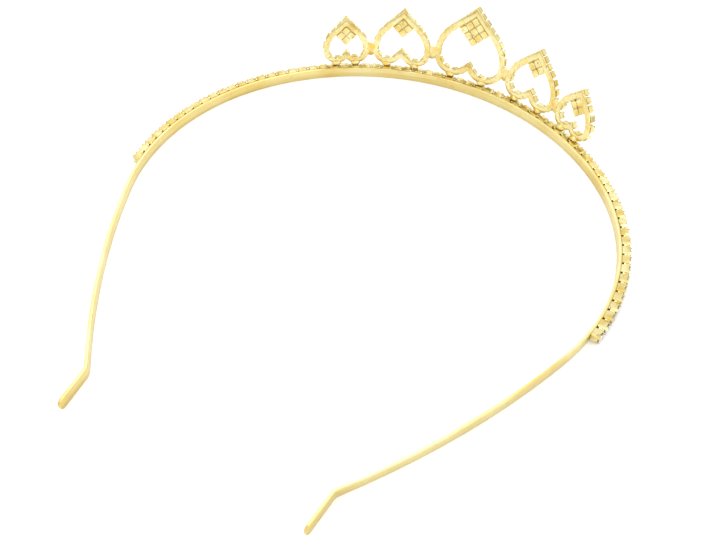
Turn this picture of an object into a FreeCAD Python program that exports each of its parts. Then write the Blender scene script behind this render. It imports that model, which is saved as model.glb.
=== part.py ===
"""A heart tiara headband: a flat bent strip, a chain of stone cups on its front and five
upside-down hearts that stand on the chain.

Frame: the origin is on the strip's lower edge, in the middle of the strip's thickness, at the
front. +Z is up, the wearer's face looks along -Y and the strip's two legs run towards +Y.
All sizes are in millimetres.
"""
import FreeCAD
import Part
import Sketcher
import math
import os

from FreeCAD import Matrix, Placement, Vector

ROOT2 = math.sqrt(2.0)

doc = FreeCAD.newDocument("HeartTiara")

# ---------------------------------------------------------------- driving dimensions
DRIVING_SIZES = [
    # the strip, seen from above, is three arcs on each side and a short tip bent outwards
    ("front_radius", 60.0, "inner radius of the strip across the forehead"),
    ("front_arc", 55.0, "length of that arc on each side"),
    ("side_radius", 54.0, "inner radius of the strip at the temples"),
    ("side_arc", 55.0, "length of that arc on each side"),
    ("leg_radius", 195.0, "inner radius of the strip behind the ears"),
    ("leg_arc", 55.0, "length of that arc on each side"),
    ("tip_bend_angle", 32.0, "how far each tip turns outwards, in degrees"),
    ("tip_bend_radius", 2.5, "radius of that bend on the outer face"),
    ("tip_length", 8.5, "straight length of each tip"),
    ("strip_height", 2.7, "height of the strip"),
    ("strip_thickness", 0.7, "thickness of the strip"),
    ("tip_rounding", 1.2, "rounding of the tip's upper and lower corner"),
    # the pressed cups with their stones: larger ones on the strip, smaller ones on the hearts
    ("band_cup_width", 2.4, "side of a square cup on the strip"),
    ("band_cup_depth", 2.2, "its depth from its back to the top of its prongs"),
    ("heart_cup_width", 1.9, "side of a square cup on a heart"),
    ("heart_cup_depth", 1.7, "its depth from its back to the top of its prongs"),
    ("cup_corner", 0.3, "rounding of the cup's corners"),
    ("cup_floor", 0.3, "thickness of the cup's back"),
    ("cup_wall", 0.15, "thickness of the cup's wall where its round seat is nearest"),
    ("prong_width", 0.55, "width of each corner prong"),
    ("prong_length", 0.45, "how far the prongs stand above the cup's wall"),
    ("stone_clearance", 0.03, "gap between the stone and the cup's wall"),
    ("stone_girdle", 0.12, "thickness of the stone's girdle"),
    ("stone_crown", 0.3, "height of the stone above its girdle"),
    ("table_share", 0.58, "width of the stone's flat top, as a share of its diameter"),
    ("point_share", 0.25, "width of its flattened point, as a share of its diameter"),
    # the chain along the strip
    ("chain_gap", 0.6, "gap between two cups of the chain"),
    ("chain_cups_each_end", 24.0, "number of cups in the left and in the right run"),
    ("chain_cups_middle", 22.0, "number of cups in the middle run"),
    ("chain_height", 1.6, "height of the chain's middle above the strip's lower edge"),
    ("link_height", 2.0, "height of the link between two cups"),
    ("link_thickness", 1.2, "thickness of the link"),
    ("link_clearance", 0.04, "gap between a link's end, or the solder behind it, and the cup"),
    ("chain_bead_step", 3.0, "a solder bead sits behind every so many links"),
    # the hearts
    ("heart_lean", 8.0, "how far the hearts lean outwards, in degrees"),
    ("heart_standoff", 1.3, "from the strip's outer face to the hearts' back"),
    ("heart_seat_gap", 0.2, "from the chain's top to the lowest line of the hearts"),
    ("heart_gap", 0.45, "gap between neighbouring hearts"),
    ("frame_width", 1.5, "width of the flat wire that a heart's frame is bent from"),
    ("frame_thickness", 0.5, "thickness of that wire"),
    ("row_gap", 0.1, "smallest gap between two cups on a heart's outline"),
    ("diamond_gap", 0.15, "gap between the cups of a diamond"),
    ("diamond_solder_setback", 0.2, "from the cups' backs to the solder between them"),
    ("diamond_solder_depth", 0.6, "depth of that solder"),
    ("centre_tip", 20.9, "height of the centre heart"),
    ("centre_half_width", 10.4, "half of its width"),
    ("centre_lobe", 5.7, "radius of its lobes"),
    ("centre_diamond_rows", 3.0, "rows of cups in its diamond"),
    ("middle_tip", 16.5, "height of the middle hearts"),
    ("middle_half_width", 8.25, "half of their width"),
    ("middle_lobe", 4.3, "radius of their lobes"),
    ("middle_diamond_rows", 2.0, "rows of cups in their diamonds"),
    ("outer_tip", 13.6, "height of the outer hearts"),
    ("outer_half_width", 6.55, "half of their width"),
    ("outer_lobe", 3.9, "radius of their lobes"),
    ("outer_diamond_rows", 2.0, "rows of cups in their diamonds"),
    ("joint_bead_radius", 1.5, "radius of the solder where two hearts meet"),
    ("joint_bead_cover", 0.2, "how far that solder stands proud of the hearts' back"),
    ("seat_bead_radius", 1.0, "radius of the solder under each lobe"),
    ("seat_bead_rise", 0.8, "how far that solder climbs up the lobe"),
]

sizes = doc.addObject("Spreadsheet::Sheet", "Sizes")
for row, (alias, number, note) in enumerate(DRIVING_SIZES, start=1):
    sizes.set("A%d" % row, alias.replace("_", " "))
    sizes.set("B%d" % row, str(number))
    sizes.setAlias("B%d" % row, alias)
    sizes.set("C%d" % row, note)
doc.recompute()


def size(alias):
    """The number in the sheet's cell of that name."""
    return float(getattr(sizes, alias))


def bind(thing, prop, formula):
    """Tie a property to cells of the sheet."""
    thing.setExpression(prop, formula)


# ---------------------------------------------------------------- small tools
nodes = []


def node(name, thing):
    """Name a sub-part and remember it for the export."""
    thing.Label = name
    nodes.append(thing)
    return thing


def node_of_solids(name, solids):
    """A sub-part made of several like solids, each of them a piece of its own."""
    thing = doc.addObject("Part::Feature", name)
    thing.Shape = Part.Compound(solids)
    return node(name, thing)


def origin_plane(body, role):
    """One of a body's own three origin planes."""
    for feature in body.Origin.OriginFeatures:
        if feature.Role == role:
            return feature
    raise ValueError("no plane " + role)


def new_sketch(body, name, role="XY_Plane", lift=None):
    """A sketch on a body's origin plane, lifted off it by a formula if one is given."""
    sketch = body.newObject("Sketcher::SketchObject", name)
    sketch.AttachmentSupport = (origin_plane(body, role), [""])
    sketch.MapMode = "FlatFace"
    if lift:
        bind(sketch, "AttachmentOffset.Base.z", lift)
    return sketch


def line(start, end):
    """A straight stretch of a loop."""
    return {"curve": Part.LineSegment(start, end), "starts_at": 1, "ends_at": 2, "radius": None}


def arc(centre, radius, from_angle, to_angle, radius_formula=None):
    """An arc of a loop, in radians; it runs clockwise where to_angle is the smaller one."""
    circle = Part.Circle(centre, Vector(0, 0, 1), radius)
    clockwise = to_angle < from_angle
    low, high = min(from_angle, to_angle), max(from_angle, to_angle)
    return {"curve": Part.ArcOfCircle(circle, low, high), "starts_at": 2 if clockwise else 1,
            "ends_at": 1 if clockwise else 2, "radius": radius_formula}


def draw_loop(sketch, pieces):
    """Draw a closed loop of lines and arcs whose ends meet, with its radii tied to the sheet."""
    first = sketch.GeometryCount
    for piece in pieces:
        sketch.addGeometry(piece["curve"], False)
    for index, piece in enumerate(pieces):
        following = (index + 1) % len(pieces)
        sketch.addConstraint(Sketcher.Constraint(
            "Coincident", first + index, piece["ends_at"],
            first + following, pieces[following]["starts_at"]))
    for index, piece in enumerate(pieces):
        if piece["radius"]:
            number = sketch.addConstraint(Sketcher.Constraint(
                "Radius", first + index, piece["curve"].Radius))
            bind(sketch, "Constraints[%d]" % number, piece["radius"])


def polygon(corners):
    """A closed loop of straight stretches."""
    vectors = [Vector(x, y, 0) for x, y in corners]
    return [line(vectors[k], vectors[(k + 1) % len(vectors)]) for k in range(len(vectors))]


def pad(body, sketch, name, length_formula):
    """A pad as long as a formula says."""
    feature = body.newObject("PartDesign::Pad", name)
    feature.Profile = sketch
    bind(feature, "Length", length_formula)
    return feature


def pocket(body, sketch, name, depth_formula):
    """A pocket from the sketch down into the body; it has to take material away."""
    doc.recompute()
    before = body.Shape.Volume
    feature = body.newObject("PartDesign::Pocket", name)
    feature.Profile = sketch
    bind(feature, "Length", depth_formula)
    doc.recompute()
    if body.Shape.Volume >= before:
        raise ValueError(name + " cuts nothing")
    return feature


def edges_where(shape, test):
    """The names of the edges that pass a test."""
    return ["Edge%d" % (k + 1) for k, edge in enumerate(shape.Edges) if test(edge)]


def fillet(body, base, name, edge_names, radius_formula):
    """Round some edges of the body's last feature."""
    feature = body.newObject("PartDesign::Fillet", name)
    feature.Base = (base, edge_names)
    bind(feature, "Radius", radius_formula)
    return feature


def placed(shape, point, along, up, out):
    """A copy of a shape whose own x, y and z axes lie along three given directions."""
    copy = shape.copy()
    copy.Placement = Placement(Matrix(along.x, up.x, out.x, point.x,
                                      along.y, up.y, out.y, point.y,
                                      along.z, up.z, out.z, point.z,
                                      0, 0, 0, 1))
    return copy


# ---------------------------------------------------------------- the band's line in plan
UP = Vector(0, 0, 1)


class BandLine:
    """The strip's inner face seen from above, as three tangent arcs that start at the front.

    An angle is how far the line has turned since the front, and is the same on every line
    drawn beside the inner face; a negative one lies on the left half.
    """

    def __init__(self):
        self.radii = [size("front_radius"), size("side_radius"), size("leg_radius")]
        lengths = [size("front_arc"), size("side_arc"), size("leg_arc")]
        self.turns = [0.0]
        self.centres = [Vector(0, size("strip_thickness") / 2 + self.radii[0], 0)]
        for index, length in enumerate(lengths):
            self.turns.append(self.turns[-1] + length / self.radii[index])
            if index < 2:
                shift = self.radii[index] - self.radii[index + 1]
                self.centres.append(self.centres[-1] + self.outward(self.turns[-1]) * shift)

    def outward(self, turn):
        """The direction away from the head."""
        return Vector(math.sin(turn), -math.cos(turn), 0)

    def heading(self, turn):
        """The direction along the band, from its left end to its right end."""
        return Vector(math.cos(turn), math.sin(turn), 0)

    def point(self, turn, offset, height=0.0):
        """The point at a turn, that far out from the inner face and that high."""
        index = 0
        while index < 2 and abs(turn) > self.turns[index + 1]:
            index += 1
        centre = self.centres[index]
        if turn < 0:
            centre = Vector(-centre.x, centre.y, 0)
        return centre + self.outward(turn) * (self.radii[index] + offset) + UP * height

    def turn_at(self, distance, offset):
        """The turn reached after a distance along the line that far out."""
        left = abs(distance)
        index = 0
        while index < 2:
            stretch = (self.turns[index + 1] - self.turns[index]) * (self.radii[index] + offset)
            if left <= stretch:
                break
            left -= stretch
            index += 1
        turn = self.turns[index] + left / (self.radii[index] + offset)
        return math.copysign(turn, distance)


band = BandLine()


# ---------------------------------------------------------------- the strip
def strip_outline():
    """The right half of the strip seen from above, from the front round to the tip."""
    thickness = size("strip_thickness")
    end = band.turns[3]
    bend = math.radians(size("tip_bend_angle"))
    inner_bend_radius = size("tip_bend_radius") + thickness
    bend_centre = band.point(end, inner_bend_radius)
    tip_heading = band.heading(end - bend)
    tip_outward = band.outward(end - bend)
    right_angle = math.pi / 2
    radius_cells = ["Sizes.front_radius", "Sizes.side_radius", "Sizes.leg_radius"]
    inner = []
    outer = []
    for index, cell in enumerate(radius_cells):
        centre = band.centres[index]
        low = band.turns[index] - right_angle
        high = band.turns[index + 1] - right_angle
        inner.append(arc(centre, band.radii[index], low, high, cell))
        outer.insert(0, arc(centre, band.radii[index] + thickness, high, low,
                            cell + " + Sizes.strip_thickness"))
    # the bend turns the other way, so its centre lies outside the strip
    inner_bend = arc(bend_centre, inner_bend_radius, end + right_angle, end - bend + right_angle,
                     "Sizes.tip_bend_radius + Sizes.strip_thickness")
    outer_bend = arc(bend_centre, size("tip_bend_radius"), end - bend + right_angle,
                     end + right_angle, "Sizes.tip_bend_radius")
    inner_tip_start = bend_centre - tip_outward * inner_bend_radius
    outer_tip_start = bend_centre - tip_outward * size("tip_bend_radius")
    reach = tip_heading * size("tip_length")
    tip = [line(inner_tip_start, inner_tip_start + reach),
           line(inner_tip_start + reach, outer_tip_start + reach),
           line(outer_tip_start + reach, outer_tip_start)]
    front = [line(band.point(0, thickness), band.point(0, 0))]
    return inner + [inner_bend] + tip + [outer_bend] + outer + front


def headband_strip():
    """Half of the strip is padded up, its tip is rounded, and the other half is its mirror."""
    body = doc.addObject("PartDesign::Body", "headband_strip")
    sketch = new_sketch(body, "strip_from_above")
    draw_loop(sketch, strip_outline())
    half = pad(body, sketch, "strip_half", "Sizes.strip_height")
    doc.recompute()
    tip_turn = band.turns[3] - math.radians(size("tip_bend_angle"))
    reach = max(v.Point.dot(band.heading(tip_turn)) for v in half.Shape.Vertexes)

    def is_tip_corner(edge):
        ends = [v.Point for v in edge.Vertexes]
        if len(ends) < 2:
            return False
        level = abs(ends[0].z - ends[1].z) < 0.01
        return level and all(p.dot(band.heading(tip_turn)) > reach - 0.01 for p in ends)

    fillet(body, half, "rounded_tip", edges_where(half.Shape, is_tip_corner),
           "Sizes.tip_rounding")
    doc.recompute()
    mirror = body.newObject("PartDesign::Mirrored", "other_half")
    mirror.Originals = [body.getObject("strip_half"), body.getObject("rounded_tip")]
    mirror.MirrorPlane = (origin_plane(body, "YZ_Plane"), [""])
    body.Tip = mirror
    return node("headband_strip", body)


# ---------------------------------------------------------------- a cup, a stone and a link
def seat_radius(where):
    """The radius of the round hole that a stone sits in."""
    return size(where + "_cup_width") / 2 - size("cup_wall")


def pressed_cup(where):
    """A square cup with a round seat and four corner prongs; its back is on the XY plane."""
    body = doc.addObject("PartDesign::Body", where + "_cup")
    width_cell = "Sizes.%s_cup_width" % where
    depth_cell = "Sizes.%s_cup_depth" % where
    half = size(where + "_cup_width") / 2
    sketch = new_sketch(body, "cup_back")
    draw_loop(sketch, polygon([(-half, -half), (half, -half), (half, half), (-half, half)]))
    width = sketch.addConstraint(Sketcher.Constraint("DistanceX", 0, 1, 0, 2, 2 * half))
    bind(sketch, "Constraints[%d]" % width, width_cell)
    block = pad(body, sketch, "cup_block", depth_cell)
    doc.recompute()
    upright = edges_where(block.Shape, lambda e: abs(e.Vertexes[0].Z - e.Vertexes[1].Z) > 0.1)
    fillet(body, block, "cup_corners", upright, "Sizes.cup_corner")
    doc.recompute()
    seat = new_sketch(body, "stone_seat", lift=depth_cell)
    seat.addGeometry(Part.Circle(Vector(0, 0, 0), UP, seat_radius(where)), False)
    seat.addConstraint(Sketcher.Constraint("Radius", 0, seat_radius(where)))
    bind(seat, "Constraints[0]", width_cell + " / 2 - Sizes.cup_wall")
    pocket(body, seat, "seat", depth_cell + " - Sizes.cup_floor")
    inside = half - size("prong_width")
    past = 2 * half
    cross = new_sketch(body, "between_prongs", lift=depth_cell)
    draw_loop(cross, polygon([(-inside, -past), (inside, -past), (inside, -inside),
                              (past, -inside), (past, inside), (inside, inside),
                              (inside, past), (-inside, past), (-inside, inside),
                              (-past, inside), (-past, -inside), (-inside, -inside)]))
    pocket(body, cross, "gaps", "Sizes.prong_length")
    return body.Shape


def cut_stone(where):
    """One stone, turned about its axis, with its point cut flat where it rests in the cup."""
    body = doc.addObject("PartDesign::Body", where + "_stone")
    radius = seat_radius(where) - size("stone_clearance")
    point_radius = radius * size("point_share")
    floor = size("cup_floor")
    top = size(where + "_cup_depth")
    shoulder = top - size("stone_crown")
    girdle = shoulder - size("stone_girdle")
    table = radius * size("table_share")
    sketch = new_sketch(body, "stone_profile", role="XZ_Plane")
    draw_loop(sketch, polygon([(0, floor), (point_radius, floor), (radius, girdle),
                               (radius, shoulder), (table, top), (0, top)]))
    turned = body.newObject("PartDesign::Revolution", "turned_stone")
    turned.Profile = sketch
    turned.ReferenceAxis = (sketch, ["V_Axis"])
    turned.Angle = 360
    doc.recompute()
    return body.Shape


def chain_link():
    """The flat bar between two chain cups, centred on the origin."""
    length = size("chain_gap") - 2 * size("link_clearance")
    height = size("link_height")
    thickness = size("link_thickness")
    return Part.makeBox(length, height, thickness,
                        Vector(-length / 2, -height / 2, -thickness / 2))


# ---------------------------------------------------------------- the chain on the strip
def chain_line_offset():
    """The chain is measured along the middle of its cups' depth."""
    return size("strip_thickness") + size("band_cup_depth") / 2


def chain_pitch():
    """The distance from cup to cup along the chain."""
    return size("band_cup_width") + size("chain_gap")


def on_band(shape, distance, offset, height):
    """A copy of a shape on the band, facing outwards, at a distance along the chain's line."""
    turn = band.turn_at(distance, chain_line_offset())
    return placed(shape, band.point(turn, offset, height), band.heading(turn), UP,
                  band.outward(turn))


def chain_runs():
    """The three runs of the chain: name, number of the first cup and number after the last."""
    end = int(size("chain_cups_each_end"))
    middle = int(size("chain_cups_middle"))
    return [("left", 0, end), ("centre", end, end + middle), ("right", end + middle,
                                                             2 * end + middle)]


def chain_length_in_cups():
    """The number of cups in the three runs together."""
    return 2 * size("chain_cups_each_end") + size("chain_cups_middle")


def band_chain(cup, stone, link):
    """Cups in three runs, their stones, and the links, each run in nodes of its own."""
    pitch = chain_pitch()
    height = size("chain_height")
    back = size("strip_thickness")
    middle_number = (chain_length_in_cups() - 1) / 2
    last = int(chain_length_in_cups())
    for name, first, stop in chain_runs():
        places = [(number - middle_number) * pitch for number in range(first, stop)]
        node_of_solids("band_cups_" + name, [on_band(cup, d, back, height) for d in places])
        node_of_solids("band_stones_" + name, [on_band(stone, d, back, height) for d in places])
        after = [d + pitch / 2 for d in places if d + pitch < middle_number * pitch + pitch / 2]
        node_of_solids("band_links_" + name,
                       [on_band(link, d, chain_line_offset(), height) for d in after])
    bead_depth = (size("band_cup_depth") - size("link_thickness")) / 2
    bead = Part.makeCylinder(size("chain_gap") / 2 - size("link_clearance"), bead_depth)
    step = int(size("chain_bead_step"))
    between = [(number + 0.5 - middle_number) * pitch for number in range(1, last - 1, step)]
    node_of_solids("chain_solder", [on_band(bead, d, back, height) for d in between])


# ---------------------------------------------------------------- the hearts
class HeartShape:
    """The outline of one upside-down heart in its own plane, its lowest line on y = 0.

    Each side runs from the point straight down at 45 degrees, then round a large arc to the
    widest place, round the lobe and straight up again at 45 degrees to the notch.
    """

    def __init__(self, size_name):
        self.tip = size(size_name + "_tip")
        self.half_width = size(size_name + "_half_width")
        self.lobe = size(size_name + "_lobe")
        self.cells = "Sizes." + size_name
        drop = self.tip - self.lobe
        self.side = (drop - self.half_width) / (ROOT2 - 1)
        self.straight = (self.half_width - self.side * (1 - 1 / ROOT2)) * ROOT2
        self.lobe_centre = Vector(self.half_width - self.lobe, self.lobe, 0)
        self.side_centre = Vector(self.half_width - self.side, self.lobe, 0)

    def right_half(self, inset):
        """Corner points of the right half, drawn that far inside the outline."""
        slope = Vector(1, 1, 0) / ROOT2
        top = Vector(0, self.tip - inset * ROOT2, 0)
        side_start = self.side_centre + slope * (self.side - inset)
        widest = Vector(self.half_width - inset, self.lobe, 0)
        notch_start = self.lobe_centre - slope * (self.lobe - inset)
        notch = Vector(0, notch_start.x + notch_start.y, 0)
        return top, side_start, widest, notch_start, notch

    def loop(self, inset, inset_formula):
        """The closed line that far inside the outline, clockwise from the point."""
        top, side_start, widest, notch_start, notch = self.right_half(inset)
        quarter = math.pi / 4
        side_formula = ("(%s_tip - %s_lobe - %s_half_width) / (sqrt(2) - 1) - %s"
                        % (self.cells, self.cells, self.cells, inset_formula))
        lobe_formula = "%s_lobe - %s" % (self.cells, inset_formula)
        side_radius = self.side - inset
        lobe_radius = self.lobe - inset

        def mirror(corner):
            """The same corner on the left half."""
            return Vector(-corner.x, corner.y, 0)

        return [line(top, side_start),
                arc(self.side_centre, side_radius, quarter, 0, side_formula),
                arc(self.lobe_centre, lobe_radius, 0, -3 * quarter, lobe_formula),
                line(notch_start, notch),
                line(notch, mirror(notch_start)),
                arc(mirror(self.lobe_centre), lobe_radius, -quarter, -4 * quarter, lobe_formula),
                arc(mirror(self.side_centre), side_radius, 4 * quarter, 3 * quarter,
                    side_formula),
                line(mirror(side_start), top)]

    def row_places(self, inset, cup_width, gap):
        """Places and directions of the cups along the right side, from the point to the notch.

        Cups on an arc fan out, so they are counted along their inner edges and never touch.
        """
        top, side_start, widest, notch_start, notch = self.right_half(inset)
        straight = (side_start - top).Length
        side = (self.side - cup_width) * math.pi / 4
        lobe = (self.lobe - cup_width) * math.pi * 3 / 4
        rise = (notch - notch_start).Length
        whole = straight + side + lobe + rise
        count = int(whole / (cup_width + gap))
        places = []
        for number in range(count + 1):
            left = whole * number / count
            if left <= straight:
                places.append((top + (side_start - top).normalize() * left, -math.pi / 4))
            elif left <= straight + side:
                angle = math.pi / 4 - (left - straight) / (self.side - cup_width)
                places.append((on_circle(self.side_centre, self.side - inset, angle),
                               angle - math.pi / 2))
            elif left <= straight + side + lobe:
                angle = -(left - straight - side) / (self.lobe - cup_width)
                places.append((on_circle(self.lobe_centre, self.lobe - inset, angle),
                               angle - math.pi / 2))
            else:
                passed = left - straight - side - lobe
                places.append((notch_start + (notch - notch_start).normalize() * passed,
                               -math.pi * 5 / 4))
        return places


def on_circle(centre, radius, angle):
    """The point of a circle at an angle."""
    return centre + Vector(math.cos(angle), math.sin(angle), 0) * radius


def heart_frame(name, shape, placement):
    """The flat wire bent to the heart's outline."""
    body = doc.addObject("PartDesign::Body", name + "_frame")
    sketch = new_sketch(body, "outline")
    outer = (size("heart_cup_width") - size("frame_width")) / 2
    outer_formula = "(Sizes.heart_cup_width - Sizes.frame_width) / 2"
    draw_loop(sketch, shape.loop(outer, outer_formula))
    draw_loop(sketch, shape.loop(outer + size("frame_width"),
                                 "(Sizes.heart_cup_width + Sizes.frame_width) / 2"))
    pad(body, sketch, "wire", "Sizes.frame_thickness")
    body.Placement = placement
    return node(name + "_frame", body)


def in_heart(shape, placement, point, angle, lift):
    """A copy of a shape in a heart's plane, turned by an angle and lifted off the plane."""
    turned = Placement(Vector(point.x, point.y, lift),
                       FreeCAD.Rotation(Vector(0, 0, 1), math.degrees(angle)))
    copy = shape.copy()
    copy.Placement = placement.multiply(turned)
    return copy


def heart_row(name, shape, placement, cup, stone):
    """The cups soldered along the front of the frame, and their stones."""
    width = size("heart_cup_width")
    right = shape.row_places(width / 2, width, size("row_gap"))
    left = [(Vector(-p.x, p.y, 0), -angle) for p, angle in right[1:-1]]
    places = right + left
    lift = size("frame_thickness")
    cups = [in_heart(cup, placement, p, angle, lift) for p, angle in places]
    node_of_solids(name + "_cups", cups)
    node_of_solids(name + "_stones",
                   [in_heart(stone, placement, p, angle, lift) for p, angle in places])
    return cups


def heart_diamond(name, rows, shape, placement, cup, stone, row_cups):
    """The block of cups inside the heart's point, and the solder between them.

    The solder gives way to any cup of the heart's row that the side's curve brings near.
    """
    seam = size("diamond_gap")
    pitch = size("heart_cup_width") + seam
    lift = size("frame_thickness")
    corner = Vector(0, shape.tip - size("heart_cup_width") / 2 * ROOT2, 0)
    right_down = Vector(1, -1, 0) / ROOT2
    left_down = Vector(-1, -1, 0) / ROOT2
    steps = range(1, rows + 1)
    places = [corner + right_down * (pitch * i) + left_down * (pitch * j)
              for i in steps for j in steps]
    angle = -math.pi / 4
    node_of_solids(name + "_diamond_cups",
                   [in_heart(cup, placement, p, angle, lift) for p in places])
    node_of_solids(name + "_diamond_stones",
                   [in_heart(stone, placement, p, angle, lift) for p in places])
    depth = size("diamond_solder_depth")
    block = rows * pitch
    # a comb in the diamond's own square grid: x runs down to the right, y down to the left
    spine = Part.makeBox(seam, block, depth, Vector((pitch - seam) / 2, (pitch - seam) / 2, 0))
    comb = spine
    for row in range(rows):
        tooth = Part.makeBox(block, seam, depth,
                             Vector((pitch - seam) / 2, (pitch - seam) / 2 + row * pitch, 0))
        comb = comb.fuse(tooth)
    comb = comb.removeSplitter()
    lift += size("diamond_solder_setback")
    grid = Placement(Vector(corner.x, corner.y, lift), FreeCAD.Rotation(Vector(0, 0, 1), -45))
    flip = Placement(Matrix(1, 0, 0, 0, 0, -1, 0, 0, 0, 0, -1, depth, 0, 0, 0, 1))
    comb.Placement = placement.multiply(grid).multiply(flip)
    node_of_solids(name + "_diamond_solder", clear_of(comb, row_cups).Solids)


def chain_top():
    """The height of the chain's upper side above the strip's lower edge."""
    return size("chain_height") + size("band_cup_width") / 2


def heart_placement(turn):
    """A heart's plane touches its place on the band and leans outwards."""
    lean = math.radians(size("heart_lean"))
    base = band.point(turn, size("strip_thickness") + size("heart_standoff"),
                      chain_top() + size("heart_seat_gap"))
    along = band.heading(turn)
    out = band.outward(turn)
    up = UP * math.cos(lean) + out * math.sin(lean)
    front = out * math.cos(lean) - UP * math.sin(lean)
    return Placement(Matrix(along.x, up.x, front.x, base.x, along.y, up.y, front.y, base.y,
                            along.z, up.z, front.z, base.z, 0, 0, 0, 1))


def clear_of(solder, neighbours):
    """Solder with the room that its neighbours take cut out of it."""
    near = [piece for piece in neighbours if piece.BoundBox.intersect(solder.BoundBox)]
    return solder.cut(near) if near else solder


def bead_around(drop, neighbours):
    """The body of a drop of solder among its neighbours, without the crumbs of the cut."""
    return max(clear_of(drop, neighbours).Solids, key=lambda solid: solid.Volume)


def crown_of_hearts(cup, stone):
    """Five hearts side by side on the chain, and the solder that holds them."""
    shapes = {key: HeartShape(key) for key in ("centre", "middle", "outer")}
    line_radius = band.radii[0] + size("strip_thickness") + size("heart_standoff")

    def turn_between(one, other):
        apart = shapes[one].half_width + shapes[other].half_width + size("heart_gap")
        return 2 * math.atan(apart / 2 / line_radius)

    middle_turn = turn_between("centre", "middle")
    outer_turn = middle_turn + turn_between("middle", "outer")
    hearts = [("left_outer", "outer", -outer_turn), ("left_middle", "middle", -middle_turn),
              ("centre", "centre", 0.0), ("right_middle", "middle", middle_turn),
              ("right_outer", "outer", outer_turn)]
    built = []
    for place, key, turn in hearts:
        name = place + "_heart"
        shape = shapes[key]
        placement = heart_placement(turn)
        frame = heart_frame(name, shape, placement)
        cups = heart_row(name, shape, placement, cup, stone)
        rows = int(size(key + "_diamond_rows"))
        heart_diamond(name, rows, shape, placement, cup, stone, cups)
        built.append((shape, placement, frame, cups))
    doc.recompute()
    solder_the_hearts(built)


def solder_the_hearts(built):
    """A drop where each pair of hearts meets, and one under each lobe."""
    cover = size("joint_bead_cover")
    thickness = size("frame_thickness")
    joints = []
    for (shape_a, place_a, frame_a, cups_a), (shape_b, place_b, frame_b, cups_b) in zip(
            built, built[1:]):
        widest_a = place_a.multVec(Vector(shape_a.half_width, shape_a.lobe, -cover))
        widest_b = place_b.multVec(Vector(-shape_b.half_width, shape_b.lobe, -cover))
        front_a = place_a.Rotation.multVec(UP)
        front_b = place_b.Rotation.multVec(UP)
        drop = Part.makeCylinder(size("joint_bead_radius"), cover + thickness,
                                 (widest_a + widest_b) * 0.5, front_a + front_b)
        joints.append(bead_around(drop, [frame_a.Shape, frame_b.Shape] + cups_a + cups_b))
    node_of_solids("heart_joint_solder", joints)
    seats = []
    for shape, placement, frame, cups in built:
        for side in (-1, 1):
            foot = placement.multVec(Vector(side * shape.lobe_centre.x, 0, thickness / 2))
            foot.z = chain_top()
            drop = Part.makeCylinder(size("seat_bead_radius"),
                                     size("heart_seat_gap") + size("seat_bead_rise"), foot, UP)
            seats.append(bead_around(drop, [frame.Shape] + cups))
    node_of_solids("heart_seat_solder", seats)


# ---------------------------------------------------------------- build, check and write
headband_strip()
band_chain(pressed_cup("band"), cut_stone("band"), chain_link())
crown_of_hearts(pressed_cup("heart"), cut_stone("heart"))
doc.recompute()

for thing in doc.Objects:
    if "Invalid" in thing.State or "Error" in thing.State:
        raise ValueError("failed: %s %s" % (thing.Name, thing.State))
for thing in nodes:
    if thing.Shape.isNull() or not thing.Shape.isValid():
        raise ValueError("bad shape: " + thing.Label)

os.makedirs("parts", exist_ok=True)
for thing in nodes:
    thing.Shape.exportStep(os.path.join("parts", thing.Label + ".step"))
    print("%-32s %3d solids %9.2f mm3" % (thing.Label, len(thing.Shape.Solids),
                                          thing.Shape.Volume))
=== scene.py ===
"""A gold headband tiara: a bent strip, a chain of stone cups on it and five hearts of cups.

Everything is in metres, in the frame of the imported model. +Z is up, the wearer looks along -Y
and the strip's legs run towards +Y.
"""

import math
import random

import bmesh
import bpy
from mathutils import Matrix, Vector


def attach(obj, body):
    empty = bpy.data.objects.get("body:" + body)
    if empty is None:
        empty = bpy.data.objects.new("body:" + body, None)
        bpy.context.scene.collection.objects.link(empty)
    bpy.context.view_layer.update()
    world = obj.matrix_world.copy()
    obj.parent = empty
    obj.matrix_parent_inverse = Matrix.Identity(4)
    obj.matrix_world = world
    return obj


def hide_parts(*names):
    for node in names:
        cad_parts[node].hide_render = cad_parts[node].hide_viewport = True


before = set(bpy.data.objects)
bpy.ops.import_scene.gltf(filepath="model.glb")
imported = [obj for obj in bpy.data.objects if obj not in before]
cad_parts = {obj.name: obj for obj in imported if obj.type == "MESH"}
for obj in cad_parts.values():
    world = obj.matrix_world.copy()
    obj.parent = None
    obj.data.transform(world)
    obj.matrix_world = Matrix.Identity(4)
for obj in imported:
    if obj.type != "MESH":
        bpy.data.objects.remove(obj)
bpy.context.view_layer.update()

# ---------------------------------------------------------------- the headband strip
# A flat strip of spring brass, 2.7 mm high and 0.7 mm thick, bent round the head on three arcs
# a side, with its tips turned outwards. Its edges are tumbled round and the gold plating still
# shows the fine lengthwise lines of the rolled metal.
MM = 0.001
STRIP_HEIGHT = 2.7 * MM
STRIP_THICKNESS = 0.7 * MM
STRIP_RADII = [60 * MM, 54 * MM, 195 * MM]
STRIP_ARC = 55 * MM
TIP_BEND = math.radians(32)
TIP_BEND_RADIUS = 2.5 * MM
TIP_LENGTH = 8.5 * MM
TIP_ROUNDING = 1.2 * MM
STRIP_EDGE = 0.12 * MM
STRIP_STEPS = (26, 28, 10)
TIP_STEPS = 8
MERGE = 0.002 * MM
HAIR = 0.01 * MM
SMOOTH_UNDER = math.radians(35)
UPWARDS = Vector((0, 0, 1))


def outward(turn):
    """The direction away from the head where the band has turned that far."""
    return Vector((math.sin(turn), -math.cos(turn), 0))


def heading(turn):
    """The direction along the band there, from its left end to its right end."""
    return Vector((math.cos(turn), math.sin(turn), 0))


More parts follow.
